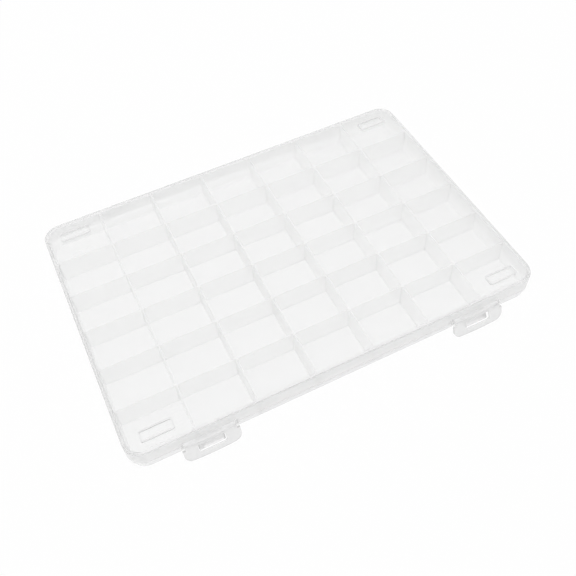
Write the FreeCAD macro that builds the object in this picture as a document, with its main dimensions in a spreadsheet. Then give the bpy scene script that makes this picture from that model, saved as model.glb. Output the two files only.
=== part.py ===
"""Flat compartment box: a tray with fixed walls, a hinged lid and two front latches.

X runs along the front, Y to the back and Z up. Z is zero at the surface that the box stands on.
The tray and the lid are drawn about the middle of the lid, and each latch about its own pivot.
"""
import FreeCAD, Part
import Sketcher
import math
import os
import re

doc = FreeCAD.newDocument("bead_box")
sizes = doc.addObject("Spreadsheet::Sheet", "sizes")

# Driving dimensions in millimetres, apart from the counts and the angles in degrees
SIZES = [
    # Lid
    ("lid_width", 280.0),
    ("lid_depth", 193.0),
    ("lid_corner", 11.5),
    ("lid_top", 21.0),
    ("lid_plate", 1.2),
    ("lid_wall", 1.25),
    ("lid_edge_round", 1.4),
    ("skirt_height", 11.0),
    # Tray
    ("rim_gap", 0.2),
    ("rim_thickness", 1.8),
    ("tray_gap", 0.35),
    ("tray_wall", 1.2),
    ("tray_floor", 1.1),
    ("tray_bottom_round", 2.0),
    ("column_count", 7),
    ("row_count", 6),
    ("divider_foot", 1.2),
    ("divider_crest", 0.9),
    ("crest_bevel", 0.25),
    ("divider_gap", 0.4),
    # Stacking feet and rings
    ("foot_length", 17.6),
    ("foot_width", 5.0),
    ("foot_corner", 1.2),
    ("foot_height", 0.6),
    ("foot_wall", 0.9),
    ("foot_hollow", 0.5),
    ("foot_hollow_corner", 0.6),
    ("ring_length", 21.0),
    ("ring_width", 7.8),
    ("ring_corner", 1.8),
    ("ring_line", 1.0),
    ("ring_height", 0.6),
    ("ring_side_inset", 21.3),
    ("ring_front_inset", 10.9),
    ("ring_back_inset", 14.5),
    # Latches
    ("latch_inset", 47.9),
    ("latch_width", 36.0),
    ("latch_thickness", 1.6),
    ("latch_drop", 12.4),
    ("latch_corner", 5.5),
    ("latch_bulge", 1.0),
    ("latch_lean", 15.0),
    ("latch_reach", 2.9),
    ("latch_barrel", 1.25),
    ("ledge_thickness", 1.5),
    ("ledge_round", 0.5),
    ("window_width", 17.4),
    ("window_top", 0.9),
    ("window_bottom", 8.6),
    ("window_corner", 1.5),
    ("pivot_out", 1.5),
    ("pivot_height", 12.8),
    ("pin_radius", 0.75),
    ("pin_clearance", 0.1),
    ("ear_thickness", 1.6),
    ("ear_gap", 0.2),
    ("ear_drop", 1.9),
    ("ear_radius", 1.2),
    # Catches
    ("catch_side_gap", 0.3),
    ("catch_bite", 1.3),
    ("catch_lip", 0.5),
    ("catch_clearance", 0.3),
    ("catch_slope_start", 0.3),
    # Hinges
    ("hinge_inset", 54.0),
    ("hinge_out", 2.6),
    ("hinge_height", 11.0),
    ("hinge_radius", 2.2),
    ("hinge_bar", 1.2),
    ("hinge_clearance", 0.1),
    ("hinge_arm", 2.4),
    ("arm_rise", 4.4),
    ("hinge_side_gap", 0.6),
    ("clip_width", 14.0),
    ("clip_mouth", 1.9),
    ("clip_mouth_angle", 45.0),
    # How far a cut runs past the faces that it opens
    ("overrun", 1.0),
    # How near counts as touching when an edge is picked
    ("pick_margin", 0.01),
]
for row, (alias, value) in enumerate(SIZES, start=1):
    sizes.set(f"A{row}", alias)
    sizes.set(f"B{row}", str(value))
    sizes.setAlias(f"B{row}", alias)
doc.recompute()
ALIASES = {alias for alias, value in SIZES}

# Places worked out from the driving dimensions
SKIRT_BOTTOM = "(lid_top - skirt_height)"
RIM_TOP = f"({SKIRT_BOTTOM} - rim_gap)"
RIM_BOTTOM = f"({RIM_TOP} - rim_thickness)"
TRAY_INSET = "(lid_wall + tray_gap)"
CAVITY_INSET = f"({TRAY_INSET} + tray_wall)"
CAVITY_WIDTH = f"(lid_width - 2 * {CAVITY_INSET})"
CAVITY_DEPTH = f"(lid_depth - 2 * {CAVITY_INSET})"
FLOOR_TOP = "(foot_height + tray_floor)"
WALL_TOP = "(lid_top - lid_plate - divider_gap)"
COLUMN_PITCH = f"({CAVITY_WIDTH} / column_count)"
ROW_PITCH = f"({CAVITY_DEPTH} / row_count)"
RING_X = "(lid_width / 2 - ring_side_inset)"
RING_FRONT_Y = "(ring_front_inset - lid_depth / 2)"
RING_BACK_Y = "(lid_depth / 2 - ring_back_inset)"
LATCH_X = "(lid_width / 2 - latch_inset)"
PIVOT_Y = "(0 - lid_depth / 2 - pivot_out)"
EAR_SPAN = "(latch_width - 2 * ear_thickness)"
BARREL_LENGTH = f"({EAR_SPAN} - 2 * ear_gap)"
CATCH_WIDTH = "(window_width - 2 * catch_side_gap)"
CATCH_TIP_Y = f"({PIVOT_Y} - latch_reach + latch_thickness - catch_bite)"
CATCH_BOTTOM = "(pivot_height - window_bottom + catch_clearance)"
HINGE_X = "(lid_width / 2 - hinge_inset)"
HINGE_Y = "(lid_depth / 2 + hinge_out)"
HINGE_SLOT = "(clip_width + 2 * hinge_side_gap)"
HINGE_SPAN = f"({HINGE_SLOT} + 2 * hinge_arm)"
FRONT_REACH = (
    "(lid_depth / 2 + pivot_out + latch_reach * cos(latch_lean * 1 deg)"
    " + latch_drop * sin(latch_lean * 1 deg))"
)
BACK_REACH = f"({HINGE_Y} + hinge_radius)"
SHIFT_Y = f"(({FRONT_REACH} - {BACK_REACH}) / 2)"


def formula(text):
    """The text of a formula, with the sheet's name before each of its sizes."""
    return re.sub(r"[a-z_]+", lambda word: f"sizes.{word[0]}" if word[0] in ALIASES else word[0], text)


def number(text):
    """What a formula comes to."""
    return float(sizes.evalExpression(text))


NEAR = number("pick_margin")


def bind(target, **formulas):
    """Ties properties of an object to formulas."""
    for name, text in formulas.items():
        target.setExpression(name, formula(text))


def origin_plane(body, role):
    """One of the body's own origin planes."""
    return next(item for item in body.Origin.OriginFeatures if item.Role == role)


def new_body(label, y=SHIFT_Y):
    """A body with its label, shifted so that the whole box, latches included, stands about the origin."""
    body = doc.addObject("PartDesign::Body", label)
    body.Label = label
    bind(body, **{"Placement.Base.y": y})
    return body


def new_sketch(body, name, role, offset="0"):
    """A sketch on one of the body's origin planes, or that far in front of it."""
    sketch = body.newObject("Sketcher::SketchObject", name)
    sketch.AttachmentSupport = (origin_plane(body, role), [""])
    sketch.MapMode = "FlatFace"
    bind(sketch, **{"AttachmentOffset.Base.z": offset})
    return sketch


def fix(sketch, kind, text, *ends):
    """Adds a dimension to the sketch and ties it to a formula."""
    index = sketch.addConstraint(Sketcher.Constraint(kind, *ends, number(text)))
    sketch.setExpression(f"Constraints[{index}]", formula(text))


def place(sketch, edge, end, point):
    """Puts one end of an edge at a point, given as two formulas."""
    fix(sketch, "DistanceX", point[0], -1, 1, edge, end)
    fix(sketch, "DistanceY", point[1], -1, 1, edge, end)


def chain(sketch, points):
    """Straight edges from point to point, given as pairs of formulas. Returns the edges and the points."""
    spots = [FreeCAD.Vector(number(x), number(y), 0) for x, y in points]
    edges = []
    for start, end in zip(spots, spots[1:]):
        edges.append(sketch.addGeometry(Part.LineSegment(start, end), False))
    for edge, follower in zip(edges, edges[1:]):
        sketch.addConstraint(Sketcher.Constraint("Coincident", edge, 2, follower, 1))
    for edge, point in zip(edges, points):
        place(sketch, edge, 1, point)
    place(sketch, edges[-1], 2, points[-1])
    return edges, spots


def polygon(sketch, points):
    """A closed outline through points, given as pairs of formulas."""
    edges, spots = chain(sketch, points)
    closing = sketch.addGeometry(Part.LineSegment(spots[-1], spots[0]), False)
    sketch.addConstraint(Sketcher.Constraint("Coincident", closing, 1, edges[-1], 2))
    sketch.addConstraint(Sketcher.Constraint("Coincident", closing, 2, edges[0], 1))


def circle(sketch, centre, radius):
    """A circle about a point, given as two formulas."""
    middle = FreeCAD.Vector(number(centre[0]), number(centre[1]), 0)
    normal = FreeCAD.Vector(0, 0, 1)
    edge = sketch.addGeometry(Part.Circle(middle, normal, number(radius)), False)
    place(sketch, edge, 3, centre)
    fix(sketch, "Radius", radius, edge)


def rounded_rectangle(sketch, centre, length, width, radius):
    """A rectangle with round corners about a point, given as two formulas."""
    x, y = centre
    right, left = f"{x} + {length} / 2 - {radius}", f"{x} - {length} / 2 + {radius}"
    front, back = f"{y} - {width} / 2 + {radius}", f"{y} + {width} / 2 - {radius}"
    up = FreeCAD.Vector(0, 0, 1)
    arcs = []
    for turn, (across, along) in enumerate(((right, front), (right, back), (left, back), (left, front))):
        start = math.radians(turn * 90 - 90)
        ring = Part.Circle(FreeCAD.Vector(number(across), number(along), 0), up, number(radius))
        arcs.append(sketch.addGeometry(Part.ArcOfCircle(ring, start, start + math.pi / 2), False))
    lines = []
    for arc, follower in zip(arcs, arcs[1:] + arcs[:1]):
        start = sketch.getPoint(arc, 2)
        end = sketch.getPoint(follower, 1)
        line = sketch.addGeometry(Part.LineSegment(start, end), False)
        sketch.addConstraint(Sketcher.Constraint("Tangent", arc, 2, line, 1))
        sketch.addConstraint(Sketcher.Constraint("Tangent", line, 2, follower, 1))
        lines.append(line)
    for line, direction in zip(lines, ("Vertical", "Horizontal", "Vertical", "Horizontal")):
        sketch.addConstraint(Sketcher.Constraint(direction, line))
    for arc in arcs[1:]:
        sketch.addConstraint(Sketcher.Constraint("Equal", arcs[0], arc))
    fix(sketch, "Radius", radius, arcs[0])
    place(sketch, arcs[0], 3, (right, front))
    place(sketch, arcs[2], 3, (left, back))


def pad(body, name, sketch, length, both_ways=False, reverse=False):
    """Material along the sketch's normal."""
    feature = body.newObject("PartDesign::Pad", name)
    feature.Profile = sketch
    feature.SideType = "Symmetric" if both_ways else "One side"
    feature.Reversed = reverse
    bind(feature, Length=length)
    return feature


def pocket(body, name, sketch, length, both_ways=False, reverse=False):
    """A cut against the sketch's normal, which has to take material away."""
    feature = body.newObject("PartDesign::Pocket", name)
    feature.Profile = sketch
    feature.SideType = "Symmetric" if both_ways else "One side"
    feature.Reversed = reverse
    bind(feature, Length=length)
    doc.recompute()
    if feature.Shape.Volume >= feature.BaseFeature.Shape.Volume:
        raise RuntimeError(f"{name} cuts nothing")
    return feature


def mirror(body, name, originals):
    """The same features on the other side of the middle."""
    feature = body.newObject("PartDesign::Mirrored", name)
    feature.Originals = originals
    feature.MirrorPlane = (origin_plane(body, "YZ_Plane"), [""])
    body.Tip = feature


def edge_names(base, wanted):
    """The names of a feature's edges that the test accepts."""
    doc.recompute()
    names = [f"Edge{i}" for i, edge in enumerate(base.Shape.Edges, start=1) if wanted(edge)]
    if not names:
        raise RuntimeError(f"{base.Label} has no such edge")
    return names


def fillet(body, name, base, radius, wanted):
    """Rounds the edges of a feature that the test accepts."""
    names = edge_names(base, wanted)
    feature = body.newObject("PartDesign::Fillet", name)
    feature.Base = (base, names)
    bind(feature, Radius=radius)


def lies_at(edge, z):
    """Whether the whole edge lies at one height."""
    box = edge.BoundBox
    return max(abs(box.ZMin - z), abs(box.ZMax - z)) < NEAR


def lid_outline(sketch, inset):
    """The lid's plan outline, drawn in by an inset."""
    width, depth = f"(lid_width - 2 * {inset})", f"(lid_depth - 2 * {inset})"
    rounded_rectangle(sketch, ("0", "0"), width, depth, f"(lid_corner - {inset})")


# Tray
def make_tray():
    """The tray's one moulding, apart from the walls between its compartments."""
    tray = new_body("tray")

    outline = new_sketch(tray, "tray_outline", "XY_Plane", "foot_height")
    lid_outline(outline, TRAY_INSET)
    block = pad(tray, "tray_block", outline, f"{WALL_TOP} - foot_height")
    fillet(tray, "tray_bottom_edge", block, "tray_bottom_round",
           lambda edge: lies_at(edge, number("foot_height")))

    rim = new_sketch(tray, "rim_outline", "XY_Plane", RIM_BOTTOM)
    lid_outline(rim, "0")
    pad(tray, "rim", rim, "rim_thickness")

    cavity = new_sketch(tray, "cavity_outline", "XY_Plane", WALL_TOP)
    lid_outline(cavity, CAVITY_INSET)
    pocket(tray, "cavity", cavity, f"{WALL_TOP} - {FLOOR_TOP}")

    right_side = add_foot(tray, "front_foot", RING_FRONT_Y)
    right_side += add_foot(tray, "back_foot", RING_BACK_Y)
    right_side += add_catch(tray)
    right_side += add_hinge_clip(tray)
    mirror(tray, "tray_left_side", right_side)
    return tray


def add_foot(tray, name, y):
    """A stacking foot, hollowed from above so that the floor keeps an even thickness."""
    sole = new_sketch(tray, f"{name}_outline", "XY_Plane")
    rounded_rectangle(sole, (RING_X, y), "foot_length", "foot_width", "foot_corner")
    foot = pad(tray, name, sole, "foot_height")
    hollow = new_sketch(tray, f"{name}_hollow_outline", "XY_Plane", FLOOR_TOP)
    length, width = "(foot_length - 2 * foot_wall)", "(foot_width - 2 * foot_wall)"
    rounded_rectangle(hollow, (RING_X, y), length, width, "foot_hollow_corner")
    return [foot, pocket(tray, f"{name}_hollow", hollow, "foot_hollow")]


def add_catch(tray):
    """The wedge under the rim that a latch's window snaps over, rounded like the window."""
    root = f"(lid_depth / 2 - {TRAY_INSET} - tray_wall / 2)"
    face = new_sketch(tray, "catch_face", "XZ_Plane", root)
    middle = (LATCH_X, f"({RIM_TOP} + {CATCH_BOTTOM}) / 2")
    height = f"({RIM_TOP} - {CATCH_BOTTOM})"
    rounded_rectangle(face, middle, CATCH_WIDTH, height, "(window_corner - catch_side_gap)")
    block = pad(tray, "catch", face, f"0 - {CATCH_TIP_Y} - {root}")
    slope = new_sketch(tray, "catch_slope_profile", "YZ_Plane", LATCH_X)
    polygon(slope, [
        ("0 - lid_depth / 2 - catch_slope_start", RIM_TOP),
        (CATCH_TIP_Y, f"{CATCH_BOTTOM} + catch_lip"),
        (CATCH_TIP_Y, RIM_TOP),
    ])
    return [block, pocket(tray, "catch_slope", slope, CATCH_WIDTH, both_ways=True)]


def add_hinge_clip(tray):
    """The open clip on the back of the rim that one of the lid's bars turns in."""
    web = new_sketch(tray, "clip_web_profile", "YZ_Plane", HINGE_X)
    root = f"(lid_depth / 2 - {TRAY_INSET} - tray_wall / 2)"
    polygon(web, [
        (root, RIM_BOTTOM),
        (root, RIM_TOP),
        (f"{HINGE_Y} - hinge_bar", RIM_TOP),
        (HINGE_Y, "hinge_height - hinge_bar"),
        (HINGE_Y, "hinge_height - hinge_radius"),
        (f"{HINGE_Y} - hinge_bar", RIM_BOTTOM),
    ])
    clip_web = pad(tray, "clip_web", web, "clip_width", both_ways=True)
    knuckle = new_sketch(tray, "clip_profile", "YZ_Plane", HINGE_X)
    circle(knuckle, (HINGE_Y, "hinge_height"), "hinge_radius")
    clip = pad(tray, "clip", knuckle, "clip_width", both_ways=True)
    bore = new_sketch(tray, "clip_bore_profile", "YZ_Plane", HINGE_X)
    circle(bore, (HINGE_Y, "hinge_height"), "(hinge_bar + hinge_clearance)")
    clip_bore = pocket(tray, "clip_bore", bore, "clip_width + 2 * overrun", both_ways=True)

    mouth = new_sketch(tray, "clip_mouth_profile", "YZ_Plane", HINGE_X)
    outward = "(hinge_radius + overrun)"
    forward, upward = "cos(clip_mouth_angle * 1 deg)", "sin(clip_mouth_angle * 1 deg)"
    polygon(mouth, [
        (f"{HINGE_Y} + {distance} * {forward} - {side} * clip_mouth / 2 * {upward}",
         f"hinge_height + {distance} * {upward} + {side} * clip_mouth / 2 * {forward}")
        for distance, side in ((0, -1), (outward, -1), (outward, 1), (0, 1))
    ])
    clip_mouth = pocket(tray, "clip_mouth", mouth, "clip_width + 2 * overrun", both_ways=True)
    return [clip_web, clip, clip_bore, clip_mouth]


# Walls between the compartments
def draw_wall_section(sketch, centre):
    """A wall's section, a little thinner at its crest."""
    polygon(sketch, [
        (f"{centre} - divider_foot / 2", FLOOR_TOP),
        (f"{centre} + divider_foot / 2", FLOOR_TOP),
        (f"{centre} + divider_crest / 2", WALL_TOP),
        (f"{centre} - divider_crest / 2", WALL_TOP),
    ])


def bevel_crest(wall, name, plate):
    """Takes the sharpness off both long edges of a wall's crest."""
    top, longer_than = number(WALL_TOP), number(COLUMN_PITCH)
    names = edge_names(plate, lambda edge: lies_at(edge, top) and edge.Length > longer_than)
    chamfer = wall.newObject("PartDesign::Chamfer", name)
    chamfer.Base = (plate, names)
    bind(chamfer, Size="crest_bevel")


def row_wall_place(row):
    """How far back the wall behind the row with this number stands."""
    return f"({ROW_PITCH} * {row} - {CAVITY_DEPTH} / 2)"


def make_row_wall(row):
    """A wall from side to side, behind the row with this number."""
    wall = new_body(f"row_wall_{row}")
    section = new_sketch(wall, f"row_section_{row}", "YZ_Plane")
    draw_wall_section(section, row_wall_place(row))
    plate = pad(wall, f"row_plate_{row}", section, CAVITY_WIDTH, both_ways=True)
    bevel_crest(wall, f"row_crest_{row}", plate)
    return wall


def make_column_wall(column, rows):
    """A wall from front to back, in one piece for each of the rows, between the walls that cross it."""
    wall = new_body(f"column_wall_{column}")
    centre = f"({COLUMN_PITCH} * {column} - {CAVITY_WIDTH} / 2)"
    section = new_sketch(wall, f"column_section_{column}", "XZ_Plane")
    draw_wall_section(section, centre)
    plate = pad(wall, f"column_plate_{column}", section, CAVITY_DEPTH, both_ways=True)
    bevel_crest(wall, f"column_crest_{column}", plate)
    crossings = new_sketch(wall, f"crossings_{column}", "YZ_Plane", centre)
    for row in range(1, rows):
        draw_wall_section(crossings, row_wall_place(row))
    pocket(wall, f"crossing_cuts_{column}", crossings, "2 * divider_foot", both_ways=True)
    return wall


# Lid
def make_lid():
    """The lid's one moulding."""
    lid = new_body("lid")

    outline = new_sketch(lid, "lid_outline", "XY_Plane", SKIRT_BOTTOM)
    lid_outline(outline, "0")
    block = pad(lid, "lid_block", outline, "skirt_height")
    fillet(lid, "lid_top_edge", block, "lid_edge_round", lambda edge: lies_at(edge, number("lid_top")))
    inside = new_sketch(lid, "lid_inside_outline", "XY_Plane", SKIRT_BOTTOM)
    lid_outline(inside, "lid_wall")
    pocket(lid, "lid_inside", inside, "skirt_height - lid_plate", reverse=True)

    right_side = [add_ring(lid, "front_ring", RING_FRONT_Y), add_ring(lid, "back_ring", RING_BACK_Y)]
    right_side += add_latch_ears(lid)
    right_side += add_hinge_bar(lid)
    mirror(lid, "lid_left_side", right_side)
    return lid


def add_ring(lid, name, y):
    """A raised ring that the foot of another box stands in."""
    ridge = new_sketch(lid, f"{name}_outline", "XY_Plane", "lid_top")
    rounded_rectangle(ridge, (RING_X, y), "ring_length", "ring_width", "ring_corner")
    length, width = "(ring_length - 2 * ring_line)", "(ring_width - 2 * ring_line)"
    rounded_rectangle(ridge, (RING_X, y), length, width, "(ring_corner - ring_line)")
    return pad(lid, name, ridge, "ring_height")


def add_latch_ears(lid):
    """A pair of ears on the front of the skirt, bored for a latch's pins."""
    bracket = new_sketch(lid, "ear_profile", "YZ_Plane", LATCH_X)
    root, front = "(lid_wall / 2 - lid_depth / 2)", "(0 - lid_depth / 2)"
    bottom, top = "(pivot_height - ear_radius)", "(pivot_height + ear_radius)"
    polygon(bracket, [(root, bottom), (PIVOT_Y, bottom), (PIVOT_Y, top), (root, top)])
    ears = pad(lid, "ears", bracket, "latch_width", both_ways=True)
    nose = new_sketch(lid, "ear_nose_profile", "YZ_Plane", LATCH_X)
    circle(nose, (PIVOT_Y, "pivot_height"), "ear_radius")
    ear_noses = pad(lid, "ear_noses", nose, "latch_width", both_ways=True)

    between = new_sketch(lid, "ear_gap_profile", "YZ_Plane", LATCH_X)
    below, above = f"({bottom} - overrun)", f"({top} + overrun)"
    outside = f"({PIVOT_Y} - ear_radius - overrun)"
    polygon(between, [(front, below), (outside, below), (outside, above), (front, above)])
    ear_gap = pocket(lid, "ear_gap_cut", between, EAR_SPAN, both_ways=True)
    bore = new_sketch(lid, "ear_bore_profile", "YZ_Plane", LATCH_X)
    circle(bore, (PIVOT_Y, "pivot_height"), "(pin_radius + pin_clearance)")
    ear_bore = pocket(lid, "ear_bore", bore, "latch_width + 2 * overrun", both_ways=True)
    return [ears, ear_noses, ear_gap, ear_bore]


def add_hinge_bar(lid):
    """Two arms on the back of the skirt with a round bar between them."""
    web = new_sketch(lid, "arm_profile", "YZ_Plane", HINGE_X)
    root, back = "(lid_depth / 2 - lid_wall / 2)", "(lid_depth / 2)"
    arm_top = "(hinge_height + arm_rise)"
    polygon(web, [
        (root, SKIRT_BOTTOM),
        (HINGE_Y, SKIRT_BOTTOM),
        (HINGE_Y, "hinge_height + hinge_radius"),
        (root, arm_top),
    ])
    arms = pad(lid, "arms", web, HINGE_SPAN, both_ways=True)
    disc = new_sketch(lid, "arm_end_profile", "YZ_Plane", HINGE_X)
    circle(disc, (HINGE_Y, "hinge_height"), "hinge_radius")
    arm_ends = pad(lid, "arm_ends", disc, HINGE_SPAN, both_ways=True)

    between = new_sketch(lid, "arm_slot_profile", "YZ_Plane", HINGE_X)
    below, outside = "(hinge_height - hinge_radius - overrun)", f"({HINGE_Y} + hinge_radius + overrun)"
    polygon(between, [(back, below), (outside, below), (outside, arm_top), (back, arm_top)])
    arm_slot = pocket(lid, "arm_slot", between, HINGE_SLOT, both_ways=True)
    rod = new_sketch(lid, "hinge_bar_profile", "YZ_Plane", HINGE_X)
    circle(rod, (HINGE_Y, "hinge_height"), "hinge_bar")
    hinge_bar = pad(lid, "hinge_bar_rod", rod, HINGE_SPAN, both_ways=True)
    return [arms, arm_ends, arm_slot, hinge_bar]


# Latches, each drawn hanging straight down from its pivot and then leaned out
def make_latch(label, side):
    """A flap with a window, on a barrel with a pin at each end."""
    latch = new_body(label, y=f"{PIVOT_Y} + {SHIFT_Y}")
    bind(latch, **{
        "Placement.Base.x": f"{side} * {LATCH_X}",
        "Placement.Base.z": "pivot_height",
        "Placement.Rotation.Angle": "0 deg - latch_lean * 1 deg",
    })
    latch.Placement.Rotation.Axis = FreeCAD.Vector(1, 0, 0)

    face = new_sketch(latch, f"{label}_face", "XZ_Plane", "latch_reach - latch_thickness")
    draw_flap(face, "latch_width / 2", f"{BARREL_LENGTH} / 2")
    middle = ("0", "0 - (window_top + window_bottom) / 2")
    rounded_rectangle(face, middle, "window_width", "(window_bottom - window_top)", "window_corner")
    plate = pad(latch, f"{label}_plate", face, "latch_thickness")
    fillet(latch, f"{label}_corners", plate, "latch_corner", is_lower_corner)

    section = new_sketch(latch, f"{label}_ledge_profile", "YZ_Plane")
    top, bottom = "latch_barrel", "latch_barrel - ledge_thickness"
    polygon(section, [("0", top), ("0", bottom), ("0 - latch_reach", bottom), ("0 - latch_reach", top)])
    ledge = pad(latch, f"{label}_ledge", section, BARREL_LENGTH, both_ways=True)
    fillet(latch, f"{label}_ledge_edge", ledge, "ledge_round", is_ledge_edge)
    rounds = (("barrel", "latch_barrel", BARREL_LENGTH), ("pins", "pin_radius", "latch_width"))
    for name, radius, length in rounds:
        profile = new_sketch(latch, f"{label}_{name}_profile", "YZ_Plane")
        circle(profile, ("0", "0"), radius)
        pad(latch, f"{label}_{name}", profile, length, both_ways=True)
    return latch


def draw_flap(sketch, half, neck):
    """A flap's front outline: narrower between the ears, and with a lower edge that bulges a little."""
    top, shoulder, low = "latch_barrel", "0 - ear_drop", "latch_bulge - latch_drop"
    left_half, left_neck = f"0 - {half}", f"0 - {neck}"
    points = [
        (half, low), (half, shoulder), (neck, shoulder), (neck, top),
        (left_neck, top), (left_neck, shoulder), (left_half, shoulder), (left_half, low),
    ]
    edges, spots = chain(sketch, points)
    lowest = FreeCAD.Vector(0, number("0 - latch_drop"), 0)
    bow = sketch.addGeometry(Part.Arc(spots[-1], lowest, spots[0]), False)
    sketch.addConstraint(Sketcher.Constraint("Coincident", bow, 1, edges[-1], 2))
    sketch.addConstraint(Sketcher.Constraint("Coincident", bow, 2, edges[0], 1))
    fix(sketch, "Radius", "((latch_width / 2) ^ 2 + latch_bulge ^ 2) / (2 * latch_bulge)", bow)


def is_lower_corner(edge):
    """Whether an edge runs through the flap's thickness at one of its lower corners."""
    box = edge.BoundBox
    sideways = max(abs(box.XMin), abs(box.XMax))
    through = box.YLength > number("latch_thickness") / 2
    at_side = abs(sideways - number("latch_width / 2")) < NEAR
    return through and at_side and abs(box.ZMax - number("latch_bulge - latch_drop")) < NEAR


def is_ledge_edge(edge):
    """Whether an edge is the ledge's upper outer one."""
    return lies_at(edge, number("latch_barrel")) and abs(edge.BoundBox.YMax + number("latch_reach")) < NEAR


row_count, column_count = int(number("row_count")), int(number("column_count"))
pieces = [make_tray()]
pieces += [make_row_wall(row) for row in range(1, row_count)]
pieces += [make_column_wall(column, row_count) for column in range(1, column_count)]
pieces.append(make_lid())
pieces += [make_latch("latch_left", -1), make_latch("latch_right", 1)]
doc.recompute()

for item in doc.Objects:
    if "Invalid" in item.State or "Error" in item.State:
        raise RuntimeError(f"{item.Label} failed: {item.State}")
for piece in pieces:
    if piece.Shape.isNull() or not piece.Shape.isValid():
        raise RuntimeError(f"{piece.Label} has no valid shape")

os.makedirs("parts", exist_ok=True)
for piece in pieces:
    piece.Shape.exportStep(f"parts/{piece.Label}.step")
    print(piece.Label, len(piece.Shape.Solids), "solids", round(piece.Shape.Volume), "mm3")
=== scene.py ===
"""Looks of the compartment bead box: clear, slightly milky polypropylene on a white sweep."""
import math

import bmesh
import bpy
from mathutils import Euler, Matrix, Vector


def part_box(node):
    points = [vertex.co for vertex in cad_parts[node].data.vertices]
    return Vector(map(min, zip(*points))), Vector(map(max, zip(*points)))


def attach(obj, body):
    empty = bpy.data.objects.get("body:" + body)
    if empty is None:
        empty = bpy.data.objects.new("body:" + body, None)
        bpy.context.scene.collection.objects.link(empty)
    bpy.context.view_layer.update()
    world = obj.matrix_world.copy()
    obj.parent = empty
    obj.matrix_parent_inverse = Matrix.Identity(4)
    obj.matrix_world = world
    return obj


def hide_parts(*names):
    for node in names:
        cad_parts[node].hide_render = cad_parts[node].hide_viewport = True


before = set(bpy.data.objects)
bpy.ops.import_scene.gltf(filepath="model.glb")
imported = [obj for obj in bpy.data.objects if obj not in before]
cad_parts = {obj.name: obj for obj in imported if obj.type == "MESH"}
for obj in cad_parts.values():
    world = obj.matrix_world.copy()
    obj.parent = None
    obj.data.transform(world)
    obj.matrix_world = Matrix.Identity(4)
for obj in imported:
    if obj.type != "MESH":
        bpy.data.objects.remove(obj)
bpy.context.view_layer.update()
MM = 0.001

# The middle of the lid lies this far behind the frame's origin
MIDDLE_Y = sum(corner.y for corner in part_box("row_wall_3")) / 2

# Sizes that the CAD gives, in millimetres
COLUMNS, ROWS = 7, 6
CAVITY_X, CAVITY_Y = 137.2, 93.7
CAVITY_CORNER = 8.7
FLOOR_TOP, WALL_TOP = 1.7, 19.4
SKIRT_BOTTOM, LID_TOP = 10, 21
WALL_FOOT, WALL_CREST = 1.2, 0.9
FOOT_X, FOOT_FRONT_Y, FOOT_BACK_Y = 118.7, -85.6, 82.0
HOLLOW_X, HOLLOW_Y, HOLLOW_DEPTH, HOLLOW_CORNER = 7.9, 1.6, 0.5, 0.6

# Rounds that the moulding has and the CAD leaves out, in millimetres
WALL_FOOT_ROUND, WALL_CREST_ROUND, WALL_CORNER, HOLLOW_ROUND = 0.4, 0.3, 0.9, 0.3
OVERRUN = 1


def principled(mat):
    return next(n for n in mat.node_tree.nodes if n.type == "BSDF_PRINCIPLED")


def math_node(nodes, links, operation, first, second=None, third=None):
    """A Math node on sockets or plain numbers, and its output."""
    node = nodes.new("ShaderNodeMath")
    node.operation = operation
    for slot, value in zip(node.inputs, (first, second, third)):
        if isinstance(value, (int, float)):
            slot.default_value = value
        elif value is not None:
            links.new(value, slot)
    return node.outputs[0]


def noise_node(nodes, links, vector, scale, detail=3, roughness=0.5):
    """A noise texture's grey, about 0.3 to 0.7."""
    node = nodes.new("ShaderNodeTexNoise")
    node.inputs["Scale"].default_value = scale
    node.inputs["Detail"].default_value = detail
    node.inputs["Roughness"].default_value = roughness
    links.new(vector, node.inputs["Vector"])
    return node.outputs["Fac"]


def under_skirt(nodes, links, parts):
    """1 on the tray's outer faces below the lid's skirt."""
    beyond_x = math_node(nodes, links, "SUBTRACT", math_node(nodes, links, "ABSOLUTE", parts.outputs["X"]),
                         (CAVITY_X + 0.6) * MM)
    y = math_node(nodes, links, "SUBTRACT", parts.outputs["Y"], MIDDLE_Y)
    beyond_y = math_node(nodes, links, "SUBTRACT", math_node(nodes, links, "ABSOLUTE", y), (CAVITY_Y + 0.6) * MM)
    outer = math_node(nodes, links, "GREATER_THAN", math_node(nodes, links, "MAXIMUM", beyond_x, beyond_y), 0)
    low = math_node(nodes, links, "LESS_THAN", parts.outputs["Z"], SKIRT_BOTTOM * MM)
    return math_node(nodes, links, "MULTIPLY", outer, low)


def ring_sides(nodes, links, parts):
    """1 above the lid's top face, on its raised rings, whose sides the lid's material darkens as painted shade."""
    return math_node(nodes, links, "GREATER_THAN", parts.outputs["Z"], (LID_TOP + 0.02) * MM)


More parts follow.
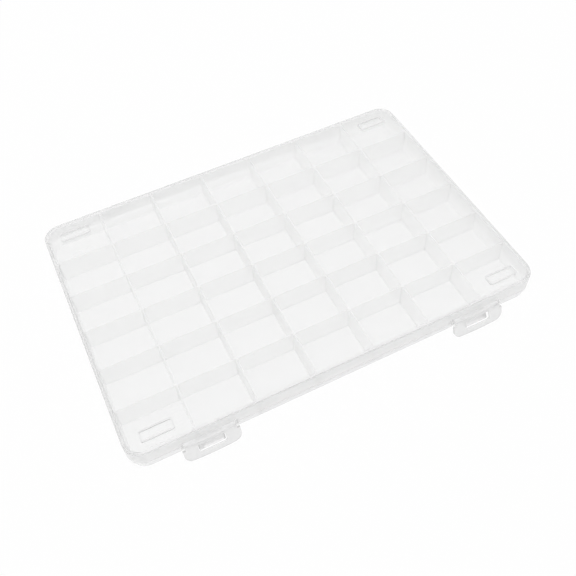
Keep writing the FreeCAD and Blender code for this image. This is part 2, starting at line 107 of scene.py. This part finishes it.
def make_plastic(name, tint, haze, milk, upright, density, haze_and_sheen_gain=(0, 0), zone=None, zone_look=(0, 1)):
    """Natural polypropylene: a clear share, a milky share that scatters light, and a little loss in its depth.
    haze and milk are the least values; towards the back right corner each gains more, the extra milk a painted
    sheen of reflected light. Upright faces are milkier by the upright share, painted shade that greys them
    against faces turned up to the light. A zone has its own look: the milk that it gains and its own tint, both
    most on upright faces; on the lid's rings the darker tint is painted shade along their sides."""
    mat = bpy.data.materials.new(name)
    mat.use_nodes = True
    nodes, links = mat.node_tree.nodes, mat.node_tree.links
    clear = principled(mat)
    clear.inputs["Base Color"].default_value = (tint, tint, tint, 1)
    clear.inputs["Transmission Weight"].default_value = 1
    clear.inputs["IOR"].default_value = 1.49
    out = next(n for n in nodes if n.type == "OUTPUT_MATERIAL")
    place = nodes.new("ShaderNodeTexCoord")
    spot = place.outputs["Object"]

    # Painted sheen and haze: milkier and rougher from none at the front left to full at the back right, with soft
    # drifts
    parts = nodes.new("ShaderNodeSeparateXYZ")
    links.new(spot, parts.inputs[0])
    drift = noise_node(nodes, links, spot, 16, 4, 0.6)
    along = math_node(nodes, links, "MULTIPLY_ADD", parts.outputs["X"], 4.3, drift)
    across = math_node(nodes, links, "MULTIPLY_ADD", parts.outputs["Y"], 6.2, along)
    ramp = nodes.new("ShaderNodeMapRange")
    ramp.interpolation_type = "SMOOTHSTEP"
    ramp.inputs["From Min"].default_value = 0.1
    ramp.inputs["From Max"].default_value = 1.6
    links.new(across, ramp.inputs["Value"])
    haze_and_sheen = ramp.outputs["Result"]

    # Haze of the surface: fine polish marks on top of the haze that grows towards the back right
    marks = noise_node(nodes, links, spot, 420, 6, 0.7)
    fine = math_node(nodes, links, "MULTIPLY_ADD", marks, 0.03, haze - 0.015)
    rough = math_node(nodes, links, "MULTIPLY_ADD", haze_and_sheen, haze_and_sheen_gain[0], fine)
    links.new(rough, clear.inputs["Roughness"])

    # The surface isn't quite flat: slow sink marks and a faint orange peel
    slow = noise_node(nodes, links, spot, 70, 2)
    peel = noise_node(nodes, links, spot, 900, 2)
    height = math_node(nodes, links, "MULTIPLY_ADD", peel, 0.01, slow)
    bump = nodes.new("ShaderNodeBump")
    bump.inputs["Strength"].default_value = 0.1
    bump.inputs["Distance"].default_value = 0.0002
    links.new(height, bump.inputs["Height"])
    links.new(bump.outputs["Normal"], clear.inputs["Normal"])

    # The milky share, with the faint streaks of the plastic's flow
    stretch = nodes.new("ShaderNodeMapping")
    stretch.inputs["Scale"].default_value = (0.35, 1, 1)
    links.new(spot, stretch.inputs["Vector"])
    streaks = noise_node(nodes, links, stretch.outputs[0], 45, 5, 0.65)
    flow = math_node(nodes, links, "MULTIPLY_ADD", streaks, 0.06, milk - 0.03)
    share = math_node(nodes, links, "MULTIPLY_ADD", haze_and_sheen, haze_and_sheen_gain[1], flow)
    # Upright faces get more of the grey milky share: painted shade, as they face away from the light above
    facing = nodes.new("ShaderNodeSeparateXYZ")
    links.new(place.outputs["Normal"], facing.inputs[0])
    level = math_node(nodes, links, "ABSOLUTE", facing.outputs["Z"])
    share = math_node(nodes, links, "MULTIPLY_ADD", level, -upright, math_node(nodes, links, "ADD", share, upright))
    # A zone gains milk and takes its own tint, most on upright faces; on the lid's rings the darker tint is painted
    # shade along their sides
    if zone:
        side = math_node(nodes, links, "MULTIPLY_ADD", level, -0.7, 1)
        mask = math_node(nodes, links, "MULTIPLY", zone(nodes, links, parts), side)
        share = math_node(nodes, links, "MULTIPLY_ADD", mask, zone_look[0], share)
        grey = math_node(nodes, links, "MULTIPLY_ADD", mask, zone_look[1] - tint, tint)
        links.new(grey, clear.inputs["Base Color"])
    inside = nodes.new("ShaderNodeNewGeometry").outputs["Backfacing"]
    amount = math_node(nodes, links, "MULTIPLY", share, math_node(nodes, links, "SUBTRACT", 1, inside))
    diffuse = nodes.new("ShaderNodeBsdfDiffuse")
    diffuse.inputs["Color"].default_value = (0.92, 0.92, 0.92, 1)
    through = nodes.new("ShaderNodeBsdfTranslucent")
    through.inputs["Color"].default_value = (0.92, 0.92, 0.92, 1)
    both = nodes.new("ShaderNodeMixShader")
    both.inputs["Fac"].default_value = 0.15
    links.new(diffuse.outputs[0], both.inputs[1])
    links.new(through.outputs[0], both.inputs[2])
    milky = nodes.new("ShaderNodeMixShader")
    links.new(amount, milky.inputs["Fac"])
    links.new(clear.outputs[0], milky.inputs[1])
    links.new(both.outputs[0], milky.inputs[2])

    # Lamps shine through instead of casting a solid shadow
    path = nodes.new("ShaderNodeLightPath")
    window = nodes.new("ShaderNodeBsdfTransparent")
    window.inputs["Color"].default_value = (0.985, 0.985, 0.985, 1)
    lit = nodes.new("ShaderNodeMixShader")
    links.new(path.outputs["Is Shadow Ray"], lit.inputs["Fac"])
    links.new(milky.outputs[0], lit.inputs[1])
    links.new(window.outputs[0], lit.inputs[2])
    links.new(lit.outputs[0], out.inputs["Surface"])

    depth = nodes.new("ShaderNodeVolumeAbsorption")
    depth.inputs["Color"].default_value = (0.5, 0.5, 0.5, 1)
    depth.inputs["Density"].default_value = density
    links.new(depth.outputs[0], out.inputs["Volume"])
    return mat


def clean(obj, angle=35):
    """Smooth shading that stays flat on the flat faces."""
    obj.data.shade_smooth()
    obj.data.set_sharp_from_angle(angle=math.radians(angle))
    weights = obj.modifiers.new("flat_faces", "WEIGHTED_NORMAL")
    weights.keep_sharp = True
    weights.weight = 90


def rounded_ring(left, right, front, back, radii, inset, segments):
    """Points of a rectangle with round corners, drawn in by an inset. radii go front right, then round."""
    points = []
    corners = ((right, front, -90), (right, back, 0), (left, back, 90), (left, front, 180))
    for (x, y, turn), radius, steps in zip(corners, radii, segments):
        r = max(radius - inset, 0.05)
        x_side = 1 if x == right else -1
        y_side = 1 if y == back else -1
        cx, cy = x - x_side * (inset + r), y - y_side * (inset + r)
        for i in range(steps + 1):
            a = math.radians(turn + 90 * i / steps)
            points.append((cx + r * math.cos(a), cy + r * math.sin(a)))
    return points


def loft(bm, rings):
    """A closed solid through rings of points with the same count, from the bottom up."""
    loops = [[bm.verts.new(Vector(p) * MM) for p in ring] for ring in rings]
    for low, high in zip(loops, loops[1:]):
        for i in range(len(low)):
            j = (i + 1) % len(low)
            bm.faces.new((low[i], low[j], high[j], high[i]))
    bm.faces.new(reversed(loops[0]))
    bm.faces.new(loops[-1])


def arc(start, end, steps, turn):
    """Shares along a quarter round from start to end, each (z, inset)."""
    points = []
    for i in range(steps + 1):
        a = math.pi / 2 * i / steps
        u, v = (1 - math.cos(a), math.sin(a)) if turn else (math.sin(a), 1 - math.cos(a))
        points.append((start[0] + (end[0] - start[0]) * u, start[1] + (end[1] - start[1]) * v))
    return points


def compartment_profile():
    """Height and inset of a compartment's side, from its round bottom edge to its round crest."""
    taper = (WALL_FOOT - WALL_CREST) / 2
    crest = -taper - WALL_CREST_ROUND
    profile = arc((FLOOR_TOP, WALL_FOOT_ROUND), (FLOOR_TOP + WALL_FOOT_ROUND, 0), 5, True)
    profile += arc((WALL_TOP - WALL_CREST_ROUND, -taper), (WALL_TOP, crest), 4, False)
    profile.append((WALL_TOP + OVERRUN, crest))
    return profile


def add_solids(name, bm):
    """An object of the mesh that was drawn."""
    mesh = bpy.data.meshes.new(name)
    bm.to_mesh(mesh)
    bm.free()
    obj = bpy.data.objects.new(name, mesh)
    bpy.context.scene.collection.objects.link(obj)
    return obj


def make_foot_hollows():
    """The shallow hollows in the floor over the four feet."""
    bm = bmesh.new()
    low = FLOOR_TOP - HOLLOW_DEPTH
    profile = arc((low, HOLLOW_ROUND), (low + HOLLOW_ROUND, 0), 3, True) + [(FLOOR_TOP + OVERRUN, 0)]
    for x in (-FOOT_X, FOOT_X):
        for y in (FOOT_FRONT_Y, FOOT_BACK_Y):
            sides = (x - HOLLOW_X, x + HOLLOW_X, y - HOLLOW_Y, y + HOLLOW_Y)
            rings = []
            for z, inset in profile:
                ring = rounded_ring(*sides, [HOLLOW_CORNER] * 4, inset, [4] * 4)
                rings.append([(px, py + MIDDLE_Y / MM, z) for px, py in ring])
            loft(bm, rings)
    return add_solids("foot_hollows", bm)


def make_compartments():
    """The hollow of every compartment, as one mesh of separate solids."""
    bm = bmesh.new()
    pitch_x, pitch_y = 2 * CAVITY_X / COLUMNS, 2 * CAVITY_Y / ROWS
    half = WALL_FOOT / 2
    for column in range(COLUMNS):
        for row in range(ROWS):
            left = -CAVITY_X + column * pitch_x + (half if column else 0)
            right = -CAVITY_X + (column + 1) * pitch_x - (half if column < COLUMNS - 1 else 0)
            front = -CAVITY_Y + row * pitch_y + (half if row else 0)
            back = -CAVITY_Y + (row + 1) * pitch_y - (half if row < ROWS - 1 else 0)
            sides = ((COLUMNS - 1, 0), (COLUMNS - 1, ROWS - 1), (0, ROWS - 1), (0, 0))
            outer = [(column, row) == side for side in sides]
            radii = [CAVITY_CORNER if o else WALL_CORNER for o in outer]
            segments = [14 if o else 4 for o in outer]
            rings = []
            for z, inset in compartment_profile():
                ring = rounded_ring(left, right, front, back, radii, inset, segments)
                rings.append([(x, y + MIDDLE_Y / MM, z) for x, y in ring])
            loft(bm, rings)
    return add_solids("compartments", bm)


def filled_tray():
    """The tray's outer form with its cavity filled in up to the wall's top."""
    bm = bmesh.new()
    bm.from_mesh(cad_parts["tray"].data)
    bmesh.ops.remove_doubles(bm, verts=bm.verts, dist=1e-7)
    cavity = []
    for face in bm.faces:
        c = face.calc_center_median() / MM
        past_x = abs(c.x) - (CAVITY_X - CAVITY_CORNER)
        past_y = abs(c.y - MIDDLE_Y / MM) - (CAVITY_Y - CAVITY_CORNER)
        reach = math.hypot(max(past_x, 0), max(past_y, 0)) + min(max(past_x, past_y), 0)
        if reach < CAVITY_CORNER + 0.3 and 1.15 < c.z < WALL_TOP - 0.01:
            cavity.append(face)
    bmesh.ops.delete(bm, geom=cavity, context="FACES")
    edges = [e for e in bm.edges if e.is_boundary]
    bmesh.ops.holes_fill(bm, edges=edges, sides=0)
    bmesh.ops.recalc_face_normals(bm, faces=bm.faces)
    flat = [e for e in bm.edges if e.is_manifold and e.calc_face_angle(1) < math.radians(0.5)]
    bmesh.ops.dissolve_limit(bm, angle_limit=math.radians(0.5), use_dissolve_boundaries=False,
                             verts=bm.verts, edges=flat, delimit=set())
    mesh = bpy.data.meshes.new("tray_moulding")
    bm.to_mesh(mesh)
    bm.free()
    obj = bpy.data.objects.new("tray_moulding", mesh)
    bpy.context.scene.collection.objects.link(obj)
    return obj


def cut(obj, tool):
    """Takes the tool out of the object for good, worked in millimetres because the sizes are small."""
    for mesh in (obj.data, tool.data):
        mesh.transform(Matrix.Scale(1 / MM, 4))
    modifier = obj.modifiers.new("cut", "BOOLEAN")
    modifier.operation = "DIFFERENCE"
    modifier.solver = "EXACT"
    modifier.object = tool
    bpy.context.view_layer.update()
    graph = bpy.context.evaluated_depsgraph_get()
    mesh = bpy.data.meshes.new_from_object(obj.evaluated_get(graph))
    mesh.transform(Matrix.Scale(MM, 4))
    obj.modifiers.clear()
    obj.data = mesh
    bpy.data.objects.remove(tool)


tray = filled_tray()
cut(tray, make_compartments())
cut(tray, make_foot_hollows())
clean(tray)
walls = [f"row_wall_{i}" for i in range(1, ROWS)] + [f"column_wall_{i}" for i in range(1, COLUMNS)]
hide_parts("tray", *walls)
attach(tray, "tray")

tray_plastic = make_plastic("tray_plastic", 0.998, 0.08, 0.30, 0.12, 3, (0, 0), under_skirt, (0.3, 0.998))
# The lid's rings get a dark tint on their sides as painted shade, and the lid grows a milky painted sheen towards
# the back right
lid_plastic = make_plastic("lid_plastic", 0.905, 0.07, 0.11, 0.35, 3, (0.17, 0.11), ring_sides, (0.1, 0.45))
latch_plastic = make_plastic("latch_plastic", 0.895, 0.12, 0.45, 0.2, 14)
tray.data.materials.clear()
tray.data.materials.append(tray_plastic)
for name, mat in (("lid", lid_plastic), ("latch_left", latch_plastic), ("latch_right", latch_plastic)):
    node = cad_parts[name]
    node.data.materials.clear()
    node.data.materials.append(mat)
    clean(node)


# Floor and world
def seen_rays(nodes, links):
    """1 on rays of the camera, a reflection or a clear part, otherwise 0."""
    path = nodes.new("ShaderNodeLightPath")
    total = path.outputs["Is Camera Ray"]
    for kind in ("Is Glossy Ray", "Is Transmission Ray"):
        total = math_node(nodes, links, "MAXIMUM", total, path.outputs[kind])
    return total


def make_floor():
    bpy.ops.mesh.primitive_plane_add(size=6)
    floor = bpy.context.object
    floor.name = "floor"
    mat = bpy.data.materials.new("floor_white")
    mat.use_nodes = True
    nodes, links = mat.node_tree.nodes, mat.node_tree.links
    plain = principled(mat)
    plain.inputs["Base Color"].default_value = (0.95, 0.95, 0.95, 1)
    plain.inputs["Roughness"].default_value = 0.9
    plain.inputs["Specular IOR Level"].default_value = 0
    glow = nodes.new("ShaderNodeEmission")
    glow.inputs["Strength"].default_value = 1.0
    share = math_node(nodes, links, "MULTIPLY", seen_rays(nodes, links), 0.95)
    mix = nodes.new("ShaderNodeMixShader")
    links.new(share, mix.inputs["Fac"])
    links.new(plain.outputs[0], mix.inputs[1])
    links.new(glow.outputs[0], mix.inputs[2])
    out = next(n for n in nodes if n.type == "OUTPUT_MATERIAL")
    links.new(mix.outputs[0], out.inputs["Surface"])
    mat.cycles.emission_sampling = "NONE"
    floor.data.materials.append(mat)


def make_world():
    """Soft studio light, with the white backdrop where the camera, a reflection or a clear part shows it."""
    world = bpy.data.worlds.new("studio")
    bpy.context.scene.world = world
    world.use_nodes = True
    nodes, links = world.node_tree.nodes, world.node_tree.links
    sky = nodes["Background"]
    sky.inputs["Color"].default_value = (1, 1, 1, 1)
    sky.inputs["Strength"].default_value = 0.82
    backdrop = nodes.new("ShaderNodeBackground")
    backdrop.inputs["Color"].default_value = (1, 1, 1, 1)
    backdrop.inputs["Strength"].default_value = 1.0
    mix = nodes.new("ShaderNodeMixShader")
    links.new(seen_rays(nodes, links), mix.inputs["Fac"])
    links.new(sky.outputs[0], mix.inputs[1])
    links.new(backdrop.outputs[0], mix.inputs[2])
    world.cycles.sampling_method = "NONE"
    out = next(n for n in nodes if n.type == "OUTPUT_WORLD")
    links.new(mix.outputs[0], out.inputs["Surface"])


def add_area(name, place, target, size, power):
    light = bpy.data.lights.new(name, "AREA")
    light.shape = "RECTANGLE"
    light.size, light.size_y = size
    light.energy = power
    obj = bpy.data.objects.new(name, light)
    bpy.context.scene.collection.objects.link(obj)
    obj.location = place
    obj.rotation_euler = (Vector(target) - Vector(place)).to_track_quat("-Z", "Y").to_euler()


make_floor()
make_world()
add_area("softbox", (-0.3, 0.5, 1.1), (0, 0, 0), (2.4, 2.0), 4)

# Camera, as the photograph's perspective gives it
camera = bpy.data.objects.new("camera", bpy.data.cameras.new("camera"))
bpy.context.scene.collection.objects.link(camera)
camera.location = (-0.114778, -0.287351 + MIDDLE_Y, 0.396848)
camera.rotation_euler = Euler((0.636674, 0.044744, -0.454515), "XYZ")
camera.data.lens = 45.01
camera.data.sensor_width = 36
bpy.context.scene.camera = camera

scene = bpy.context.scene
scene.view_settings.view_transform = "Standard"
scene.cycles.max_bounces = 64
scene.cycles.diffuse_bounces = 16
scene.cycles.blur_glossy = 0
scene.cycles.glossy_bounces = 64
scene.cycles.transmission_bounces = 64
scene.cycles.transparent_max_bounces = 64

bpy.context.view_layer.update()
